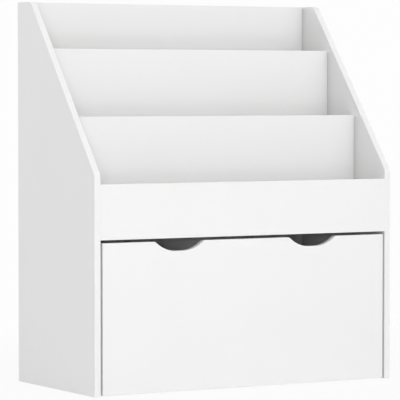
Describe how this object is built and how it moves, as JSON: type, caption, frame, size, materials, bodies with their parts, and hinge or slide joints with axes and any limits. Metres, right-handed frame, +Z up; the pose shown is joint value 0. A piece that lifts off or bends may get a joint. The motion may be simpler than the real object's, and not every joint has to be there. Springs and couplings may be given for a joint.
{
  "type": "bookcase with rolling bottom box",
  "caption": "Low white children's bookcase with stepped front-facing book pockets between sloping sides, over a wide box on castors that rolls out of the bay below.",
  "frame": {"origin": "on the floor, under the middle of the case's footprint", "axes": "+Z up, front towards -Y, +X to the right seen from the front"},
  "size_m": [0.62, 0.3, 0.696],
  "materials": {
    "white_board": "12 mm fibreboard, smooth satin white lacquer on faces and edges",
    "zinc_cam": "die-cast zinc, dull bright",
    "zinc_steel": "turned steel, bright zinc plated",
    "beech_dowel": "plain beech, rounded ends",
    "castor_steel": "pressed steel sheet, zinc plated",
    "castor_wheel": "moulded dark grey polypropylene, satin"
  },
  "bodies": {
    "case": {"left_side_panel": "white_board", "right_side_panel": "white_board", "back_panel": "white_board", "bay_top": "white_board", "front_panel": "white_board", "middle_panel": "white_board", "upper_panel": "white_board", "middle_floor": "white_board", "upper_floor": "white_board", "case_cam_locks": "zinc_cam", "case_cam_bolts": "zinc_steel", "case_dowels": "beech_dowel"},
    "rolling_box": {"box_front": "white_board", "box_left_wall": "white_board", "box_right_wall": "white_board", "box_back": "white_board", "box_floor": "white_board", "box_cam_locks": "zinc_cam", "box_cam_bolts": "zinc_steel", "box_dowels": "beech_dowel", "box_screws": "zinc_steel", "castor_axles": "zinc_steel", "castor_screws": "zinc_steel", "castor_bracket_front_left": "castor_steel", "castor_bracket_front_right": "castor_steel", "castor_bracket_rear_left": "castor_steel", "castor_bracket_rear_right": "castor_steel"},
    "wheel_front_left": {"castor_wheel_front_left": "castor_wheel"},
    "wheel_front_right": {"castor_wheel_front_right": "castor_wheel"},
    "wheel_rear_left": {"castor_wheel_rear_left": "castor_wheel"},
    "wheel_rear_right": {"castor_wheel_rear_right": "castor_wheel"}
  },
  "joints": [
    {"name": "box_roll_out", "type": "slide", "parent": "case", "child": "rolling_box", "axis": [0, -1, 0], "range_m": [0, 0.32]},
    {"name": "wheel_front_left_spin", "type": "hinge", "parent": "rolling_box", "child": "wheel_front_left", "pos_m": [-0.237, -0.093, 0.015], "axis": [1, 0, 0], "continuous": true},
    {"name": "wheel_front_right_spin", "type": "hinge", "parent": "rolling_box", "child": "wheel_front_right", "pos_m": [0.237, -0.093, 0.015], "axis": [1, 0, 0], "continuous": true},
    {"name": "wheel_rear_left_spin", "type": "hinge", "parent": "rolling_box", "child": "wheel_rear_left", "pos_m": [-0.237, 0.0805, 0.015], "axis": [1, 0, 0], "continuous": true},
    {"name": "wheel_rear_right_spin", "type": "hinge", "parent": "rolling_box", "child": "wheel_rear_right", "pos_m": [0.237, 0.0805, 0.015], "axis": [1, 0, 0], "continuous": true}
  ],
  "couplings": [
    {"joint": "wheel_front_left_spin", "follows": "box_roll_out", "rad_per_m": 66.667},
    {"joint": "wheel_front_right_spin", "follows": "box_roll_out", "rad_per_m": 66.667},
    {"joint": "wheel_rear_left_spin", "follows": "box_roll_out", "rad_per_m": 66.667},
    {"joint": "wheel_rear_right_spin", "follows": "box_roll_out", "rad_per_m": 66.667}
  ]
}
